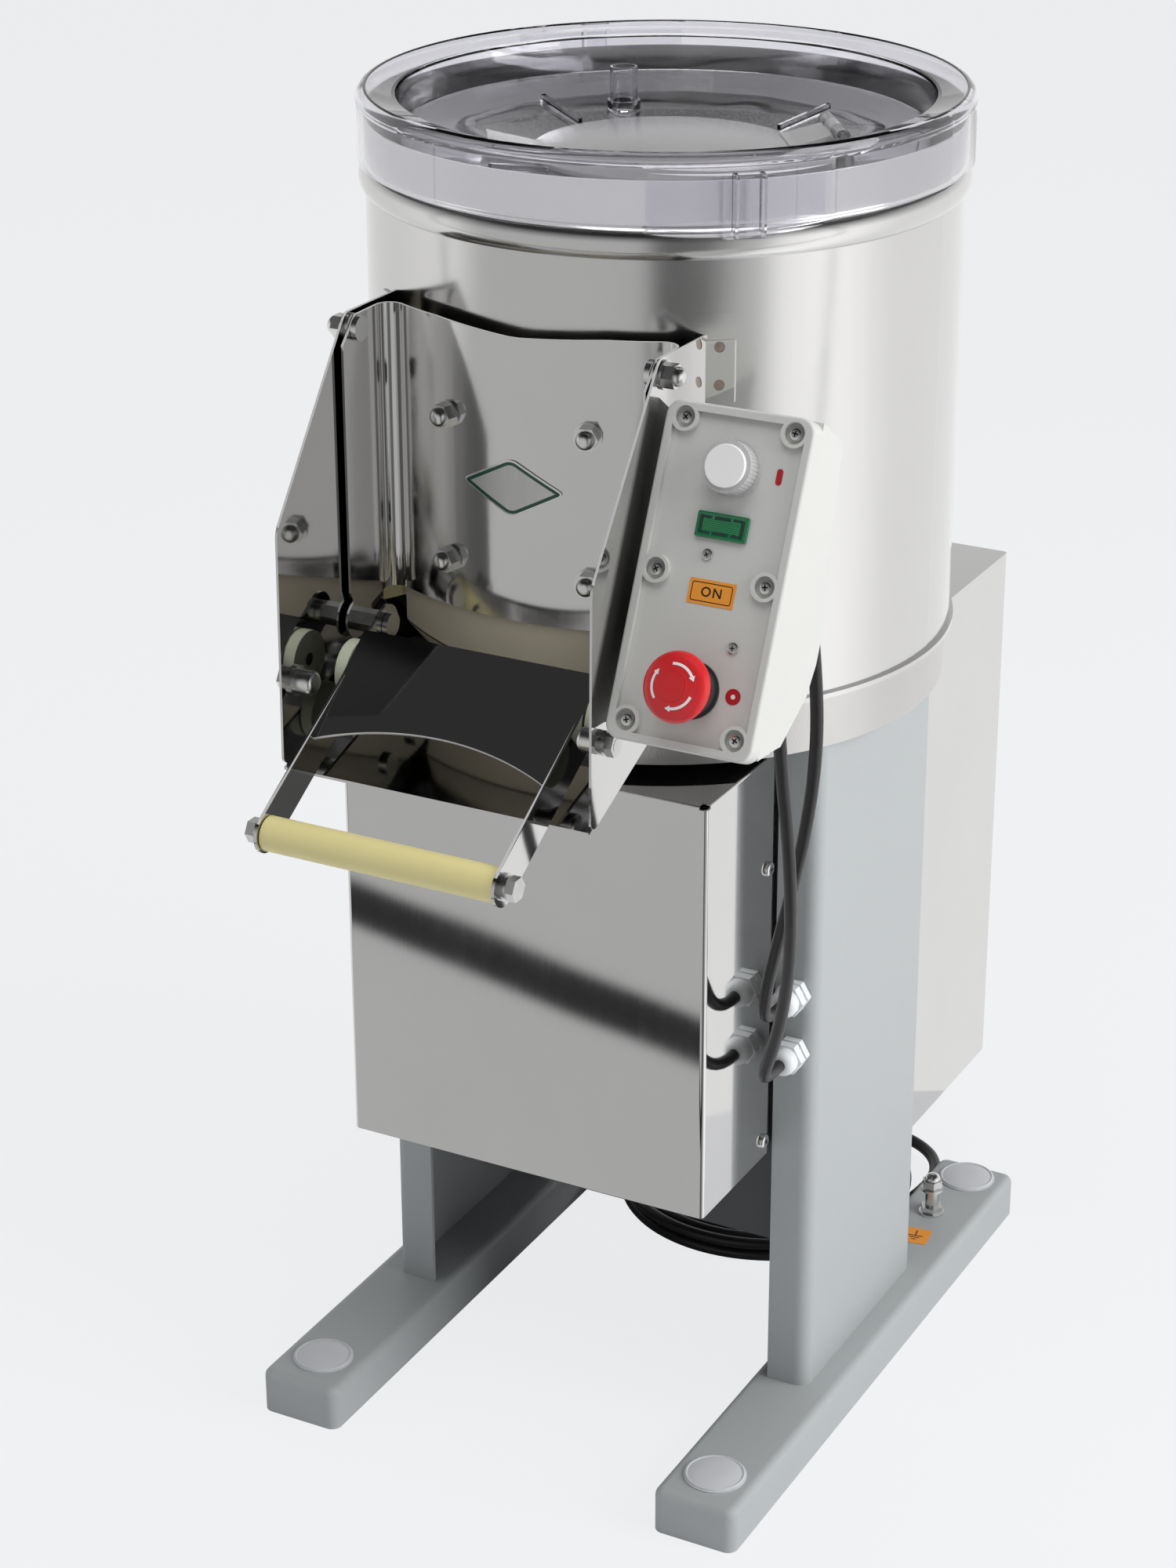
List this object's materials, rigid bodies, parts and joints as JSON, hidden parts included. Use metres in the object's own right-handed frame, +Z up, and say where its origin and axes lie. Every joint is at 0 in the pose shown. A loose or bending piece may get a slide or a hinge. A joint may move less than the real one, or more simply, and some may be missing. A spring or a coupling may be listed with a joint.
{
  "type": "electric potato peeler",
  "caption": "Floor-standing drum vegetable peeler: stainless drum on two uprights and rails, clear lid with flap, lever-locked discharge door, slanted control box",
  "frame": {"origin": "where the drum's vertical axis meets the floor, which is also the centre of the four anchor holes", "axes": "+Z up along the drum's axis, -Y the front with the discharge chute, +X the side of the control box"},
  "size_m": [0.3851, 0.6444, 0.8575],
  "materials": {
    "frame_paint": "grey stoved paint with a fine texture",
    "dark_metal": "dark primer",
    "stainless": "bright cold-rolled stainless sheet",
    "stainless_polished": "mirror stainless sheet",
    "steel_fasteners": "bright",
    "cast_housing": "as cast",
    "motor_paint": "satin",
    "abrasive": "bonded grit",
    "disc_metal": "cast, grit bonded on top",
    "clear_lid": "clear moulded polycarbonate",
    "cream_plastic": "satin",
    "white_plastic": "satin",
    "roller_plastic": "satin, faintly green",
    "yellow_plastic": "satin",
    "grey_plastic": "fine texture",
    "dark_plastic": "fine texture",
    "button_white": "gloss",
    "lens_green": "translucent",
    "signal_red": "gloss",
    "rubber_black": "satin",
    "cable_black": "satin jacket"
  },
  "bodies": {
    "frame": {"rail_left": "frame_paint", "rail_right": "frame_paint", "rail_caps": "white_plastic", "upright_left": "frame_paint", "upright_right": "frame_paint", "front_plate": "dark_metal", "earth_stud": "dark_metal", "front_cover": "stainless_polished", "rear_cover": "stainless_polished", "cover_screws": "steel_fasteners", "drum_shell": "stainless", "base_pan": "cast_housing", "drain_spout": "white_plastic", "abrasive_lining": "abrasive", "bearings": "steel_fasteners", "bearing_housing": "cast_housing", "machine_bolts": "steel_fasteners", "shaft_seal": "rubber_black", "drive_belt": "rubber_black", "motor_plate": "frame_paint", "motor_body": "motor_paint", "chute_wall_left": "stainless_polished", "chute_wall_right": "stainless_polished", "chute_tray": "stainless_polished", "stop_pins": "steel_fasteners", "door_pivots": "steel_fasteners", "control_lid": "grey_plastic", "control_body": "grey_plastic", "control_screws": "steel_fasteners", "indicator_lens": "lens_green", "button_bezel": "dark_plastic", "estop_collar": "dark_plastic", "control_bracket": "stainless", "cable_glands": "white_plastic", "control_cable_a": "cable_black", "control_cable_b": "cable_black", "mains_cord": "cable_black", "mains_coil": "cable_black", "mains_plug": "dark_plastic"},
    "rotor": {"spindle": "steel_fasteners", "abrasive_disc": "disc_metal", "disc_nut": "steel_fasteners", "driven_pulley": "cast_housing"},
    "motor_rotor": {"motor_shaft": "steel_fasteners", "motor_pulley": "cast_housing"},
    "door": {"door_sheet": "stainless", "door_liner": "cream_plastic", "door_bolts": "steel_fasteners", "lever_pivots": "steel_fasteners"},
    "lever_arm": {"lever": "stainless_polished", "lever_bolts": "steel_fasteners"},
    "roller_l": {"roller_left": "roller_plastic"},
    "roller_r": {"roller_right": "roller_plastic"},
    "grip_sleeve": {"grip": "yellow_plastic"},
    "lid_top": {"lid": "clear_lid", "flap_pin": "steel_fasteners"},
    "flap": {"loading_flap": "cream_plastic"},
    "button": {"start_button": "button_white"},
    "stop_stem": {"estop_stem": "dark_plastic"},
    "stop_head": {"estop_head": "signal_red"}
  },
  "joints": [
    {"name": "rotor_spin", "type": "hinge", "parent": "frame", "child": "rotor", "pos_m": [0, 0, 0.5], "axis": [0, 0, 1], "continuous": true},
    {"name": "motor_spin", "type": "hinge", "parent": "frame", "child": "motor_rotor", "pos_m": [0, 0.185, 0.3], "axis": [0, 0, 1], "continuous": true},
    {"name": "door_swing", "type": "hinge", "parent": "frame", "child": "door", "pos_m": [0, -0.204, 0.744], "axis": [-1, 0, 0], "range_deg": [0, 60]},
    {"name": "lever_swing", "type": "hinge", "parent": "door", "child": "lever_arm", "pos_m": [0, -0.212, 0.567], "axis": [-1, 0, 0], "range_deg": [0, 95]},
    {"name": "roller_left_spin", "type": "hinge", "parent": "lever_arm", "child": "roller_l", "pos_m": [-0.083, -0.239, 0.547], "axis": [1, 0, 0], "continuous": true},
    {"name": "roller_right_spin", "type": "hinge", "parent": "lever_arm", "child": "roller_r", "pos_m": [0.083, -0.239, 0.547], "axis": [1, 0, 0], "continuous": true},
    {"name": "grip_spin", "type": "hinge", "parent": "lever_arm", "child": "grip_sleeve", "pos_m": [0, -0.3494, 0.4862], "axis": [1, 0, 0], "continuous": true},
    {"name": "lid_lift", "type": "slide", "parent": "frame", "child": "lid_top", "axis": [0, 0, 1], "range_m": [0, 0.12]},
    {"name": "flap_swing", "type": "hinge", "parent": "lid_top", "child": "flap", "pos_m": [0.08414, 0.06113, 0.82508], "axis": [-0.5878, 0.809, 0], "range_deg": [0, 100]},
    {"name": "start_press", "type": "slide", "parent": "frame", "child": "button", "axis": [0, 0.9085, -0.4179], "range_m": [0, 0.004], "stiffness_N_per_m": 200},
    {"name": "estop_press", "type": "slide", "parent": "frame", "child": "stop_stem", "axis": [0, 0.9085, -0.4179], "range_m": [0, 0.005]},
    {"name": "estop_twist", "type": "hinge", "parent": "stop_stem", "child": "stop_head", "pos_m": [0.1549, -0.28371, 0.59533], "axis": [0, -0.9085, 0.4179], "range_deg": [0, 45], "stiffness_Nm_per_rad": 0.05}
  ],
  "couplings": [
    {"joint": "motor_spin", "follows": "rotor_spin", "ratio": 3}
  ]
}
